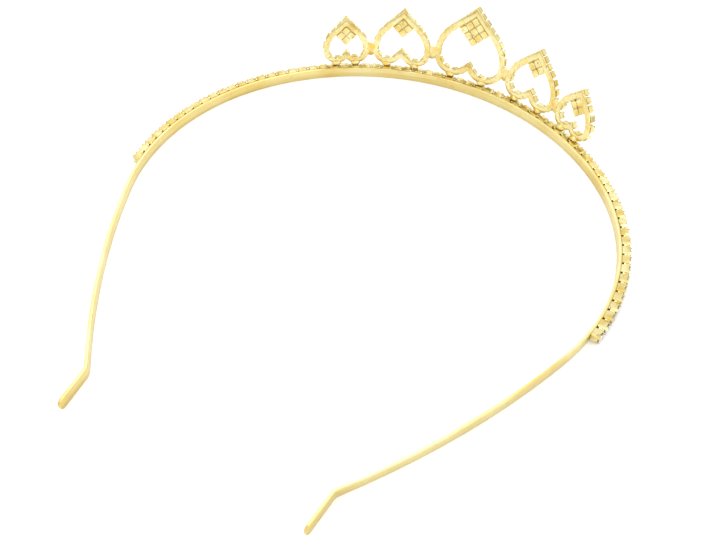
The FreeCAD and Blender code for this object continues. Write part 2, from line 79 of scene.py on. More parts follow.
strip_turns = [0.0]
strip_centres = [Vector((0, STRIP_THICKNESS / 2 + STRIP_RADII[0], 0))]
for radius, next_radius in zip(STRIP_RADII, STRIP_RADII[1:] + STRIP_RADII[-1:]):
    strip_turns.append(strip_turns[-1] + STRIP_ARC / radius)
    strip_centres.append(strip_centres[-1] + outward(strip_turns[-1]) * (radius - next_radius))


def band_point(turn, offset, height=0.0):
    """The point at a turn, that far out from the strip's inner face and that high."""
    arc = 0
    while arc < 2 and abs(turn) > strip_turns[arc + 1]:
        arc += 1
    centre = strip_centres[arc].copy()
    if turn < 0:
        centre.x = -centre.x
    return centre + outward(turn) * (STRIP_RADII[arc] + offset) + UPWARDS * height


def let_go():
    """Deselect everything, so that the next tool touches only what is made next."""
    bpy.ops.object.select_all(action="DESELECT")


def choose(kind, test):
    """In edit mode, select only the edges or faces whose middle passes a test."""
    bpy.ops.mesh.select_mode(type=kind)
    bpy.ops.mesh.select_all(action="DESELECT")
    mesh = bmesh.from_edit_mesh(bpy.context.object.data)
    if kind == "EDGE":
        parts = [(edge, (edge.verts[0].co + edge.verts[1].co) / 2) for edge in mesh.edges]
    else:
        parts = [(face, face.calc_center_median()) for face in mesh.faces]
    for part, middle in parts:
        if test(part, middle):
            part.select_set(True)
    bmesh.update_edit_mesh(bpy.context.object.data)


def close_and_turn_out(merge=MERGE):
    """In edit mode, merge the doubles and make every face point outwards."""
    bpy.ops.mesh.select_all(action="SELECT")
    bpy.ops.mesh.remove_doubles(threshold=merge)
    bpy.ops.mesh.normals_make_consistent(inside=False)


def bend_round(centre, angle, steps):
    """In edit mode, carry the open end round a centre, counterclockwise as seen from above.

    With no window the spin tool turns the other way, so its angle is reversed.
    """
    bpy.ops.mesh.spin(steps=steps, angle=-angle, center=centre, axis=UPWARDS)


def round_edges(piece, width, segments=2, sharper_than=40):
    """Round the piece's sharp edges, as tumbling in a drum does."""
    bevel = piece.modifiers.new("rounded", "BEVEL")
    bevel.width = width
    bevel.segments = segments
    bevel.limit_method = "ANGLE"
    bevel.angle_limit = math.radians(sharper_than)
    bpy.ops.object.modifier_apply(modifier="rounded")


def hand_over(piece, name, finish, slot, *nodes):
    """Name a finished piece, give it its finish and let it stand for its CAD nodes."""
    piece.name = name
    piece.data.name = name
    if finish:
        piece.data.materials.clear()
        piece.data.materials.append(finish)
    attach(piece, "root")
    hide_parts(*nodes)


class Shade:
    """A number that changes over a surface, so that a finish can be written as a sum."""

    def __init__(self, finish, socket):
        self.finish = finish
        self.socket = socket

    def math(self, operation, first, second):
        return self.finish.add("ShaderNodeMath", {"operation": operation},
                               {0: first, 1: second})

    def __add__(self, other):
        return self.math("ADD", self, other)

    __radd__ = __add__

    def __sub__(self, other):
        return self.math("SUBTRACT", self, other)

    def __rsub__(self, other):
        return self.math("SUBTRACT", other, self)

    def __mul__(self, other):
        return self.math("MULTIPLY", self, other)

    __rmul__ = __mul__


class Finish:
    """A material that is put together node by node around its Principled shader."""

    def __init__(self, name, **constants):
        self.material = bpy.data.materials.new(name)
        self.material.use_nodes = True
        self.tree = self.material.node_tree
        self.shader = self.tree.nodes["Principled BSDF"]
        for socket, number in constants.items():
            self.shader.inputs[socket.replace("_", " ")].default_value = number

    def add(self, kind, settings=None, inputs=None, output=0):
        """Add a node: its settings first, then the values or links of its sockets."""
        node = self.tree.nodes.new(kind)
        for key, value in (settings or {}).items():
            setattr(node, key, value)
        for key, value in (inputs or {}).items():
            self.feed(node.inputs[key], value)
        return Shade(self, node.outputs[output])

    def feed(self, socket, value):
        if isinstance(value, Shade):
            self.tree.links.new(value.socket, socket)
        else:
            socket.default_value = value

    def place(self, stretch=(1, 1, 1)):
        """The point on the piece, with the pattern drawn out along some axes."""
        point = self.add("ShaderNodeTexCoord", output="Object")
        return self.add("ShaderNodeMapping", None, {"Vector": point, "Scale": stretch})

    def noise(self, place, scale, detail=2.0, roughness=0.5):
        return self.add("ShaderNodeTexNoise", {"noise_dimensions": "3D"},
                        {"Vector": place, "Scale": scale, "Detail": detail,
                         "Roughness": roughness}, output="Fac")

    def tint(self, share, one, other):
        """A colour between two, by a share from 0 to 1."""
        return self.add("ShaderNodeMix", {"data_type": "RGBA"},
                        {0: share, 6: self.rgba(one), 7: self.rgba(other)}, output=2)

    def rgba(self, colour):
        return colour if isinstance(colour, Shade) else (*colour, 1)

    def between(self, value, low, high, to_low=0.0, to_high=1.0):
        """Stretch a number from one range to another and hold it there."""
        return self.add("ShaderNodeMapRange", {"clamp": True},
                        {"Value": value, "From Min": low, "From Max": high,
                         "To Min": to_low, "To Max": to_high})

    def bump(self, height, depth, strength=1.0):
        return self.add("ShaderNodeBump", None,
                        {"Strength": strength, "Distance": depth, "Height": height},
                        output="Normal")

    def finish(self, colour, roughness, normal=None):
        self.feed(self.shader.inputs["Base Color"], colour)
        self.feed(self.shader.inputs["Roughness"], roughness)
        if normal:
            self.feed(self.shader.inputs["Normal"], normal)
        return self.material


PALE_GOLD = (0.73, 0.65, 0.34)
DEEP_GOLD = (0.61, 0.46, 0.14)
# a brown mixed into the plated finishes, partly as stains and partly as painted dark reflection
BROWN_STAIN_AND_PAINTED_REFLECTION = (0.34, 0.20, 0.05)


def plated_strip():
    """Gold over rolled brass: lengthwise lines, slow changes of tone, faint brown spots of wear
    and painted dark reflection.
    """
    made = Finish("gold_plated_strip", Metallic=1.0)
    point = made.place()
    lines_place = made.place((22, 22, 5200))
    lines = made.noise(lines_place, 1.0, 3.0, 0.62)
    cloud = made.noise(point, 55.0, 3.0)
    rub_and_painted_reflection = made.noise(point, 700.0, 2.0)
    tone = made.between(lines * 0.5 + cloud * 0.5, 0.40, 0.60)
    colour = made.tint(tone, DEEP_GOLD, PALE_GOLD)
    # the faint brown spots are partly rubbed plating and partly painted dark reflection
    worn_and_painted_reflection = made.between(rub_and_painted_reflection, 0.60, 0.78, 0.0, 0.25)
    colour = made.tint(worn_and_painted_reflection, colour, BROWN_STAIN_AND_PAINTED_REFLECTION)
    roughness = 0.20 + 0.14 * lines + 0.10 * cloud
    return made.finish(colour, roughness, made.bump(lines + rub_and_painted_reflection * 0.3, 0.012 * MM, 0.8))


let_go()
bpy.ops.mesh.primitive_plane_add(size=1, location=(0, 0, STRIP_HEIGHT / 2),
                                 rotation=(0, math.pi / 2, 0))
strip = bpy.context.object
strip.scale = (STRIP_HEIGHT, STRIP_THICKNESS, 1)
bpy.ops.object.transform_apply(location=True, rotation=True, scale=True)
bpy.ops.object.mode_set(mode="EDIT")
bpy.ops.mesh.delete(type="ONLY_FACE")
bpy.ops.mesh.select_all(action="SELECT")
for arc, steps in enumerate(STRIP_STEPS):
    bend_round(strip_centres[arc], strip_turns[arc + 1] - strip_turns[arc], steps)
leg_end = strip_turns[3]
bend_centre = band_point(leg_end, TIP_BEND_RADIUS + STRIP_THICKNESS)
bend_round(bend_centre, -TIP_BEND, TIP_STEPS)
tip_run = heading(leg_end - TIP_BEND) * TIP_LENGTH
bpy.ops.mesh.extrude_edges_move(TRANSFORM_OT_translate={"value": tip_run})
bpy.ops.mesh.edge_face_add()
close_and_turn_out()
tip_direction = heading(leg_end - TIP_BEND)
tip_reach = max(v.co.dot(tip_direction) for v in bmesh.from_edit_mesh(strip.data).verts)


def is_tip_corner(edge, middle):
    """The two short edges across the thickness at the tip's end."""
    level = abs(edge.verts[0].co.z - edge.verts[1].co.z) < HAIR
    return level and middle.dot(tip_direction) > tip_reach - HAIR


choose("EDGE", is_tip_corner)
bpy.ops.mesh.bevel(offset=TIP_ROUNDING, segments=7, affect="EDGES")
bpy.ops.object.mode_set(mode="OBJECT")
other_half = strip.modifiers.new("other_half", "MIRROR")
other_half.merge_threshold = MERGE
bpy.ops.object.modifier_apply(modifier="other_half")
bpy.ops.object.mode_set(mode="EDIT")
close_and_turn_out()
bpy.ops.object.mode_set(mode="OBJECT")
round_edges(strip, STRIP_EDGE, 3)
bpy.ops.object.shade_smooth_by_angle(angle=SMOOTH_UNDER)
hand_over(strip, "strip", plated_strip(), "gold_strip", "headband_strip")

# ---------------------------------------------------------------- the cups of the chain
# Square cups stamped from thin brass with a bowl for the stone and a prong on each corner that
# is pressed over it. They're 2.4 mm wide, polished and plated, and stand in a row on the
# strip's front face with their backs against it.
BAND_CUP_WIDTH = 2.4 * MM
BAND_CUP_DEPTH = 2.2 * MM
CUP_CORNER = 0.3 * MM
CUP_BACK_EDGE = 0.09 * MM
CUP_FLOOR = 0.3 * MM
CUP_WALL = 0.15 * MM
PRONG_WIDTH = 0.55 * MM
PRONG_LENGTH = 0.45 * MM
PRONG_CLOSING = 0.84
CHAIN_GAP = 0.6 * MM
CHAIN_PITCH = BAND_CUP_WIDTH + CHAIN_GAP
CHAIN_HEIGHT = 1.6 * MM
CHAIN_RUNS = {"left": (0, 24), "centre": (24, 46), "right": (46, 70)}
CHAIN_MIDDLE = 34.5
CUP_LOOSENESS = math.radians(1.3)
CUP_SMOOTH_UNDER = math.radians(30)


def press_cup(width, depth):
    """One cup, its back on z = 0 and its mouth towards +z."""
    wall_top = depth - PRONG_LENGTH
    inside = width / 2 - PRONG_WIDTH
    let_go()
    bpy.ops.mesh.primitive_cube_add(size=1, location=(0, 0, wall_top / 2))
    cup = bpy.context.object
    cup.scale = (width, width, wall_top)
    bpy.ops.object.transform_apply(location=True, rotation=True, scale=True)
    bpy.ops.object.mode_set(mode="EDIT")
    choose("EDGE", lambda edge, middle: HAIR < middle.z < wall_top - HAIR)
    bpy.ops.mesh.bevel(offset=CUP_CORNER, segments=1, affect="EDGES")
    choose("EDGE", lambda edge, middle: middle.z < HAIR)
    bpy.ops.mesh.bevel(offset=CUP_BACK_EDGE, segments=1, affect="EDGES")
    for axis in (Vector((1, 0, 0)), Vector((0, 1, 0))):
        for side in (-inside, inside):
            bpy.ops.mesh.select_all(action="SELECT")
            bpy.ops.mesh.bisect(plane_co=axis * side, plane_no=axis)
    choose("FACE", lambda face, middle: middle.z > wall_top - HAIR)
    bpy.ops.mesh.inset(thickness=CUP_WALL)
    bpy.ops.mesh.extrude_region_move(
        TRANSFORM_OT_translate={"value": (0, 0, CUP_FLOOR - wall_top)})
    choose("FACE", lambda face, middle: middle.z > wall_top - HAIR
           and min(abs(middle.x), abs(middle.y)) > inside)
    bpy.ops.mesh.extrude_region_move(TRANSFORM_OT_translate={"value": (0, 0, PRONG_LENGTH)})
    bpy.ops.transform.resize(value=(PRONG_CLOSING, PRONG_CLOSING, 1), center_override=(0, 0, 0))
    bpy.ops.mesh.select_all(action="SELECT")
    bpy.ops.mesh.dissolve_limited(angle_limit=math.radians(1))
    close_and_turn_out()
    bpy.ops.object.mode_set(mode="OBJECT")
    bpy.ops.object.shade_smooth_by_angle(angle=CUP_SMOOTH_UNDER)
    return cup


def band_turn(distance):
    """The turn that the band has reached after a distance along the chain's middle line."""
    left = abs(distance)
    offset = STRIP_THICKNESS + BAND_CUP_DEPTH / 2
    arc = 0
    while arc < 2:
        stretch = (strip_turns[arc + 1] - strip_turns[arc]) * (STRIP_RADII[arc] + offset)
        if left <= stretch:
            break
        left -= stretch
        arc += 1
    return math.copysign(strip_turns[arc] + left / (STRIP_RADII[arc] + offset), distance)


def stand(point, along, up, out):
    """The move that takes a shape's x, y and z axes to three directions at a point."""
    return Matrix.Translation(point) @ Matrix((along, up, out)).transposed().to_4x4()


def on_band(distance, offset):
    """The place on the chain's line, facing outwards."""
    turn = band_turn(distance)
    return stand(band_point(turn, offset, CHAIN_HEIGHT), heading(turn), UPWARDS, outward(turn))


hand = random.Random(11)


def set_by_hand(amount):
    """A slight turn about each axis, because the pieces are placed one by one."""
    turns = [Matrix.Rotation(hand.uniform(-amount, amount), 4, axis) for axis in "XYZ"]
    return turns[0] @ turns[1] @ turns[2]


def lay_out(pattern, places):
    """A copy of a finished shape at every place, joined into one piece."""
    let_go()
    for place in places:
        copy = pattern.copy()
        copy.data = pattern.data.copy()
        bpy.context.collection.objects.link(copy)
        copy.data.transform(place)
        copy.select_set(True)
        bpy.context.view_layer.objects.active = copy
    bpy.ops.object.join()
    return bpy.context.object


def put_away(pattern):
    """The shape that was copied isn't part of the tiara itself."""
    bpy.data.objects.remove(pattern)


def polished_cups(name, roughness=0.12):
    """Bright plating, a little uneven from cup to cup, brown in places with tarnish and painted
    dark reflection.
    """
    made = Finish(name, Metallic=1.0)
    point = made.place()
    from_cup_to_cup = made.noise(point, 330.0, 1.0)
    film_and_painted_reflection = made.noise(point, 900.0, 3.0, 0.6)
    orange_peel = made.noise(point, 2600.0, 2.0)
    tone = made.between(from_cup_to_cup, 0.36, 0.64)
    colour = made.tint(tone, DEEP_GOLD, PALE_GOLD)
    # the brown patches are partly tarnish and partly painted dark reflection
    colour = made.tint(made.between(film_and_painted_reflection, 0.60, 0.72, 0.0, 0.8), colour, BROWN_STAIN_AND_PAINTED_REFLECTION)
    return made.finish(colour, roughness + 0.16 * film_and_painted_reflection, made.bump(orange_peel, 0.01 * MM, 0.6))


cup_gold = polished_cups("gold_plated_cups")
band_cup = press_cup(BAND_CUP_WIDTH, BAND_CUP_DEPTH)
cup_places = {}
for run, (first, stop) in CHAIN_RUNS.items():
    numbers = range(first, stop)
    cup_places[run] = [on_band((number - CHAIN_MIDDLE) * CHAIN_PITCH, STRIP_THICKNESS)
                       @ set_by_hand(CUP_LOOSENESS) for number in numbers]
    hand_over(lay_out(band_cup, cup_places[run]), "chain_cups_" + run, cup_gold, "gold_cups",
              "band_cups_" + run)
put_away(band_cup)

# ---------------------------------------------------------------- the stones of the chain
# Round cut glass stones, 2 mm across, each held in its cup by the four prongs. The facets below
# the girdle carry a silver foil, so the stone throws the light back out through its top.
STONE_CLEARANCE = 0.03 * MM
STONE_GIRDLE = 0.12 * MM
STONE_CROWN = 0.3 * MM
TABLE_SHARE = 0.58
CULET_SHARE = 0.25
STONE_SIDES = 14


def cut_stone(cup_width, cup_depth):
    """One stone in its cup: a girdle, a crown with a flat table and a foiled point below."""
    radius = cup_width / 2 - CUP_WALL - STONE_CLEARANCE
    shoulder = cup_depth - STONE_CROWN
    girdle = shoulder - STONE_GIRDLE
    let_go()
    bpy.ops.mesh.primitive_cylinder_add(vertices=STONE_SIDES, radius=radius, depth=STONE_GIRDLE,
                                        location=(0, 0, (shoulder + girdle) / 2))
    stone = bpy.context.object
    bpy.ops.object.transform_apply(location=True, rotation=True, scale=True)
    bpy.ops.object.mode_set(mode="EDIT")
    for level, reach, share in ((shoulder, STONE_CROWN, TABLE_SHARE),
                                (girdle, CUP_FLOOR - girdle, CULET_SHARE)):
        choose("FACE", lambda face, middle: abs(middle.z - level) < HAIR)
        bpy.ops.mesh.extrude_region_move(TRANSFORM_OT_translate={"value": (0, 0, reach)})
        bpy.ops.transform.resize(value=(share, share, 1), center_override=(0, 0, 0))
    close_and_turn_out()
    bpy.ops.object.mode_set(mode="OBJECT")
    stone.data.materials.append(stone_glass)
    stone.data.materials.append(stone_foil)
    for face in stone.data.polygons:
        face.material_index = 1 if face.center.z < girdle - HAIR else 0
    return stone


def clear_glass():
    """Clear glass with a trace of warmth and fine wear on its facets."""
    made = Finish("clear_glass", Transmission_Weight=1.0, IOR=1.54)
    wear = made.noise(made.place(), 1500.0, 2.0)
    colour = made.tint(made.between(wear, 0.3, 0.7), (1.0, 1.0, 1.0), (0.97, 0.98, 1.0))
    return made.finish(colour, made.between(wear, 0.5, 0.8, 0.0, 0.06))


def silver_foil():
    """The mirror foil on the back of the stones, a little darker where it is thin."""
    made = Finish("silver_foil", Metallic=1.0)
    thin = made.noise(made.place(), 800.0, 2.0)
    colour = made.tint(made.between(thin, 0.35, 0.7), (0.97, 0.97, 0.98), (0.74, 0.76, 0.80))
    return made.finish(colour, 0.03 + 0.08 * thin)


stone_glass = clear_glass()
stone_foil = silver_foil()
band_stone = cut_stone(BAND_CUP_WIDTH, BAND_CUP_DEPTH)
for run in CHAIN_RUNS:
    hand_over(lay_out(band_stone, [place @ Matrix.Rotation(hand.uniform(0, math.pi), 4, "Z")
                                   for place in cup_places[run]]),
              "chain_stones_" + run, None, "glass_stones", "band_stones_" + run)
put_away(band_stone)

# ---------------------------------------------------------------- the links of the chain
# Short bars of brass, 2 mm high, left from the strip that the cups are stamped in. They join
# each cup to the next, are plated with them and close the chain's back half.
LINK_HEIGHT = 2.0 * MM
LINK_THICKNESS = 1.2 * MM
LINK_CLEARANCE = 0.04 * MM
LINK_EDGE = 0.07 * MM


def stamp_link():
    """One bar, centred on the origin, its length along x."""
    let_go()
    bpy.ops.mesh.primitive_cube_add(size=1)
    link = bpy.context.object
    link.scale = (CHAIN_GAP - 2 * LINK_CLEARANCE, LINK_HEIGHT, LINK_THICKNESS)
    bpy.ops.object.transform_apply(location=True, rotation=True, scale=True)
    round_edges(link, LINK_EDGE, 1)
    bpy.ops.object.shade_smooth_by_angle(angle=math.radians(50))
    return link


link = stamp_link()
chain_middle = STRIP_THICKNESS + BAND_CUP_DEPTH / 2
last_cup = CHAIN_RUNS["right"][1] - 1
for run, (first, stop) in CHAIN_RUNS.items():
    places = [on_band((number + 0.5 - CHAIN_MIDDLE) * CHAIN_PITCH, chain_middle)
              for number in range(first, min(stop, last_cup))]
    hand_over(lay_out(link, places), "chain_links_" + run, cup_gold, "gold_cups",
              "band_links_" + run)
put_away(link)

# ---------------------------------------------------------------- the solder behind the chain
# Small beads of hard solder between the strip and every third link, a deeper orange gold than
# the plating.
BEAD_RADIUS = CHAIN_GAP / 2 - LINK_CLEARANCE
BEAD_DEPTH = (BAND_CUP_DEPTH - LINK_THICKNESS) / 2
BEAD_STEP = 3


def flowed_solder():
    """Solder under thin plating: orange gold, satin and finely pitted, brown in places with oxide
    and painted dark reflection.
    """
    made = Finish("gold_plated_solder", Metallic=1.0)
    point = made.place()
    cloud = made.noise(point, 500.0, 3.0)
    pits_and_painted_reflection = made.noise(point, 3500.0, 2.0)
    colour = made.tint(made.between(cloud, 0.38, 0.56), (0.78, 0.50, 0.10), PALE_GOLD)
    # the brown on the pitting is partly oxide and partly painted dark reflection
    colour = made.tint(made.between(pits_and_painted_reflection, 0.62, 0.75, 0.0, 0.5), colour, BROWN_STAIN_AND_PAINTED_REFLECTION)
    return made.finish(colour, 0.24 + 0.25 * cloud, made.bump(cloud + pits_and_painted_reflection * 0.3, 0.05 * MM))


def solder_drop(seed):
    """A drop one unit across, uneven as it flowed."""
    let_go()
    bpy.ops.mesh.primitive_ico_sphere_add(subdivisions=3, radius=0.5)
    drop = bpy.context.object
    bpy.ops.object.mode_set(mode="EDIT")
    bpy.ops.mesh.select_all(action="SELECT")
    bpy.ops.transform.vertex_random(offset=0.10, uniform=0.3, normal=0.7, seed=seed)
    for _ in range(2):
        bpy.ops.mesh.vertices_smooth(factor=0.6)
    close_and_turn_out(0.0001)
    bpy.ops.object.mode_set(mode="OBJECT")
    bpy.ops.object.shade_smooth()
    return drop


solder_gold = flowed_solder()
drop = solder_drop(3)
drop_shape = Matrix.Diagonal((2 * BEAD_RADIUS, 2 * BEAD_RADIUS, 1.1 * BEAD_DEPTH, 1))
places = []
for number in range(1, last_cup, BEAD_STEP):
    place = on_band((number + 0.5 - CHAIN_MIDDLE) * CHAIN_PITCH,
                    STRIP_THICKNESS + BEAD_DEPTH / 2)
    places.append(place @ Matrix.Rotation(hand.uniform(0, math.pi), 4, "Z") @ drop_shape)
hand_over(lay_out(drop, places), "solder_behind_chain", solder_gold, "gold_solder",
          "chain_solder")
put_away(drop)

# ---------------------------------------------------------------- the frames of the hearts
# Flat brass wire, 1.5 mm wide and 0.5 mm thick, bent into five upside-down hearts, mitred at the
# point and at the notch. They stand side by side on the chain and lean 8 degrees outwards.
ROOT2 = math.sqrt(2)
QUARTER = math.pi / 4
HEART_CUP_WIDTH = 1.9 * MM
HEART_CUP_DEPTH = 1.7 * MM
FRAME_WIDTH = 1.5 * MM
FRAME_THICKNESS = 0.5 * MM
FRAME_EDGE = 0.11 * MM
SIDE_STEPS = 8
LOBE_STEPS = 20
HEART_LEAN = math.radians(8)
HEART_STANDOFF = 1.3 * MM
HEART_SEAT_GAP = 0.2 * MM
HEART_GAP = 0.45 * MM
CHAIN_TOP = CHAIN_HEIGHT + BAND_CUP_WIDTH / 2
HEART_TIP = {"centre": 20.9 * MM, "middle": 16.5 * MM, "outer": 13.6 * MM}
HEART_HALF_WIDTH = {"centre": 10.4 * MM, "middle": 8.25 * MM, "outer": 6.55 * MM}
LOBE_RADIUS = {"centre": 5.7 * MM, "middle": 4.3 * MM, "outer": 3.9 * MM}


def heart_lines(kind):
    """The side radius and the centres of the side and lobe arcs on the right half."""
    half_width, lobe = HEART_HALF_WIDTH[kind], LOBE_RADIUS[kind]
    side = (HEART_TIP[kind] - lobe - half_width) / (ROOT2 - 1)
    return side, Vector((half_width - side, lobe, 0)), Vector((half_width - lobe, lobe, 0))


def bend_frame(kind):
    """The wire of one heart in its own plane: x along the band, y up, its back on z = 0."""
    tip, lobe = HEART_TIP[kind], LOBE_RADIUS[kind]
    side, side_centre, lobe_centre = heart_lines(kind)
    inset = HEART_CUP_WIDTH / 2
    down = Vector((1, -1, 0)) / ROOT2
    across = Vector((1, 1, 0)) / ROOT2
    past = 2 * FRAME_WIDTH
    point = Vector((0, tip - inset * ROOT2, 0))
    side_start = side_centre + across * (side - inset)
    notch_start = lobe_centre - across * (lobe - inset)
    notch = Vector((0, notch_start.x + notch_start.y, 0))
    start = point - down * past + Vector((0, 0, FRAME_THICKNESS / 2))
    let_go()
    bpy.ops.mesh.primitive_plane_add(size=1, location=start, rotation=(math.pi / 2, 0, QUARTER))
    wire = bpy.context.object
    wire.scale = (FRAME_WIDTH, FRAME_THICKNESS, 1)
    bpy.ops.object.transform_apply(location=True, rotation=True, scale=True)
    bpy.ops.object.mode_set(mode="EDIT")
    bpy.ops.mesh.delete(type="ONLY_FACE")
    bpy.ops.mesh.select_all(action="SELECT")
    straight = down * (past + (side_start - point).length)
    bpy.ops.mesh.extrude_edges_move(TRANSFORM_OT_translate={"value": straight})
    bend_round(side_centre, -QUARTER, SIDE_STEPS)
    bend_round(lobe_centre, -3 * QUARTER, LOBE_STEPS)
    rise = (notch - notch_start) + Vector((-1, 1, 0)) / ROOT2 * past
    bpy.ops.mesh.extrude_edges_move(TRANSFORM_OT_translate={"value": rise})
    bpy.ops.mesh.select_all(action="SELECT")
    bpy.ops.mesh.bisect(plane_co=(0, 0, 0), plane_no=(1, 0, 0), clear_inner=True)
    bpy.ops.object.mode_set(mode="OBJECT")
    other_side = wire.modifiers.new("other_side", "MIRROR")
    other_side.merge_threshold = MERGE
    bpy.ops.object.modifier_apply(modifier="other_side")
    bpy.ops.object.mode_set(mode="EDIT")
    close_and_turn_out()
    bpy.ops.object.mode_set(mode="OBJECT")
    round_edges(wire, FRAME_EDGE, 2)
    bpy.ops.object.shade_smooth_by_angle(angle=SMOOTH_UNDER)
    return wire


def plated_wire():
    """Bright plating over drawn wire: soft waves from bending and a few brown spots of tarnish
    and painted dark reflection.
    """
    made = Finish("gold_plated_wire", Metallic=1.0)
    point = made.place()
    waves = made.noise(point, 170.0, 2.0)
    spots = made.noise(point, 1100.0, 3.0)
    scuffs = made.noise(point, 3200.0, 2.0)
    colour = made.tint(made.between(waves * 0.5 + spots * 0.5, 0.40, 0.58), DEEP_GOLD, PALE_GOLD)
    # the brown spots are partly tarnish and partly painted dark reflection
    colour = made.tint(made.between(spots, 0.60, 0.72, 0.0, 0.8), colour, BROWN_STAIN_AND_PAINTED_REFLECTION)
    height = waves + scuffs * 0.05
    return made.finish(colour, 0.13 + 0.12 * spots, made.bump(height, 0.12 * MM, 0.7))


line_radius = STRIP_RADII[0] + STRIP_THICKNESS + HEART_STANDOFF


def turn_between(kind, next_kind):
    """How far the band turns from the middle of one heart to the middle of the next."""
    apart = HEART_HALF_WIDTH[kind] + HEART_HALF_WIDTH[next_kind] + HEART_GAP
    return 2 * math.atan(apart / 2 / line_radius)


middle_turn = turn_between("centre", "middle")
outer_turn = middle_turn + turn_between("middle", "outer")
HEARTS = {"left_outer": ("outer", -outer_turn), "left_middle": ("middle", -middle_turn),
          "centre": ("centre", 0.0), "right_middle": ("middle", middle_turn),
          "right_outer": ("outer", outer_turn)}


def heart_place(turn):
    """The move from a heart's own plane to its place on the band."""
    out = outward(turn)
    up = UPWARDS * math.cos(HEART_LEAN) + out * math.sin(HEART_LEAN)
    front = out * math.cos(HEART_LEAN) - UPWARDS * math.sin(HEART_LEAN)
    base = band_point(turn, STRIP_THICKNESS + HEART_STANDOFF, CHAIN_TOP + HEART_SEAT_GAP)
    return stand(base, heading(turn), up, front)


wire_gold = plated_wire()
for name, (kind, turn) in HEARTS.items():
    wire = bend_frame(kind)
    wire.data.transform(heart_place(turn))
    hand_over(wire, name + "_heart_wire", wire_gold, "gold_wire", name + "_heart_frame")

# ---------------------------------------------------------------- the cups round the hearts
# The same stamped cups in a smaller size, 1.9 mm wide, soldered side by side along the front of
# each frame from the point round the lobes to the notch.
ROW_GAP = 0.1 * MM


def row_places(kind):
    """Place and direction of every cup round a heart; on an arc their inner edges set them."""
    tip, lobe = HEART_TIP[kind], LOBE_RADIUS[kind]
    side, side_centre, lobe_centre = heart_lines(kind)
    inset = HEART_CUP_WIDTH / 2
    slope = Vector((1, 1, 0)) / ROOT2
    point = Vector((0, tip - inset * ROOT2, 0))
    side_start = side_centre + slope * (side - inset)
    notch_start = lobe_centre - slope * (lobe - inset)
    notch = Vector((0, notch_start.x + notch_start.y, 0))
    straight = (side_start - point).length
    side_run = (side - HEART_CUP_WIDTH) * QUARTER
    lobe_run = (lobe - HEART_CUP_WIDTH) * QUARTER * 3
    rise = (notch - notch_start).length
    whole = straight + side_run + lobe_run + rise
    count = int(whole / (HEART_CUP_WIDTH + ROW_GAP))
    right = []
    for number in range(count + 1):
        left = whole * number / count
        if left <= straight:
            spot, angle = point + (side_start - point).normalized() * left, -QUARTER
        elif left <= straight + side_run:
            angle = QUARTER - (left - straight) / (side - HEART_CUP_WIDTH)
            reach = Vector((math.cos(angle), math.sin(angle), 0)) * (side - inset)
            spot, angle = side_centre + reach, angle - 2 * QUARTER
        elif left <= straight + side_run + lobe_run:
            angle = -(left - straight - side_run) / (lobe - HEART_CUP_WIDTH)
            reach = Vector((math.cos(angle), math.sin(angle), 0)) * (lobe - inset)
            spot, angle = lobe_centre + reach, angle - 2 * QUARTER
        else:
            passed = left - straight - side_run - lobe_run
            spot, angle = notch_start + (notch - notch_start).normalized() * passed, -5 * QUARTER
        right.append((spot, angle))
    mirrored = [(Vector((-spot.x, spot.y, 0)), -angle) for spot, angle in right[1:-1]]
    return right + mirrored


def in_heart(turn, spots):
    """The moves to some places on the front of a heart's frame."""
    lift = UPWARDS * FRAME_THICKNESS
    return [heart_place(turn) @ Matrix.Translation(spot + lift)
            @ Matrix.Rotation(angle, 4, "Z") @ set_by_hand(CUP_LOOSENESS)
            for spot, angle in spots]


heart_cup = press_cup(HEART_CUP_WIDTH, HEART_CUP_DEPTH)
row_moves = {}
for name, (kind, turn) in HEARTS.items():
    row_moves[name] = in_heart(turn, row_places(kind))
    hand_over(lay_out(heart_cup, row_moves[name]), name + "_heart_row", cup_gold, "gold_cups",
              name + "_heart_cups")

# ---------------------------------------------------------------- the diamonds in the points
# A block of the same cups in the inner corner of each point, three by three in the centre heart
# and two by two in the others, held together by solder that runs between them.
DIAMOND_GAP = 0.15 * MM
DIAMOND_ROWS = {"centre": 3, "middle": 2, "outer": 2}


def diamond_places(kind):
    """Place and direction of the cups of a diamond, in rows along the two sides of the point."""
    pitch = HEART_CUP_WIDTH + DIAMOND_GAP
    corner = Vector((0, HEART_TIP[kind] - HEART_CUP_WIDTH / 2 * ROOT2, 0))
    right_down = Vector((1, -1, 0)) / ROOT2
    left_down = Vector((-1, -1, 0)) / ROOT2
    return [(corner + right_down * (pitch * i) + left_down * (pitch * j), -QUARTER)
            for i in range(1, DIAMOND_ROWS[kind] + 1) for j in range(1, DIAMOND_ROWS[kind] + 1)]


def seams_with_painted_shade():
    """The thin solder between two cups, never polished; its dark brown is painted shade of the
    groove there.
    """
    made = Finish("seam_solder_painted_shade", Metallic=1.0)
    cloud = made.noise(made.place(), 900.0, 3.0)
    # this dark brown is painted shade in the groove between the cups
    colour = made.tint(made.between(cloud, 0.35, 0.65), (0.55, 0.40, 0.12), (0.74, 0.60, 0.26))
    return made.finish(colour, 0.35 + 0.3 * cloud, made.bump(cloud, 0.04 * MM))


seam_painted_shade = seams_with_painted_shade()
diamond_moves = {}
for name, (kind, turn) in HEARTS.items():
    diamond_moves[name] = in_heart(turn, diamond_places(kind))
    hand_over(lay_out(heart_cup, diamond_moves[name]), name + "_heart_diamond", cup_gold,
              "gold_cups", name + "_heart_diamond_cups")
    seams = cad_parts[name + "_heart_diamond_solder"]
    seams.data.materials.clear()
    seams.data.materials.append(seam_painted_shade)
put_away(heart_cup)

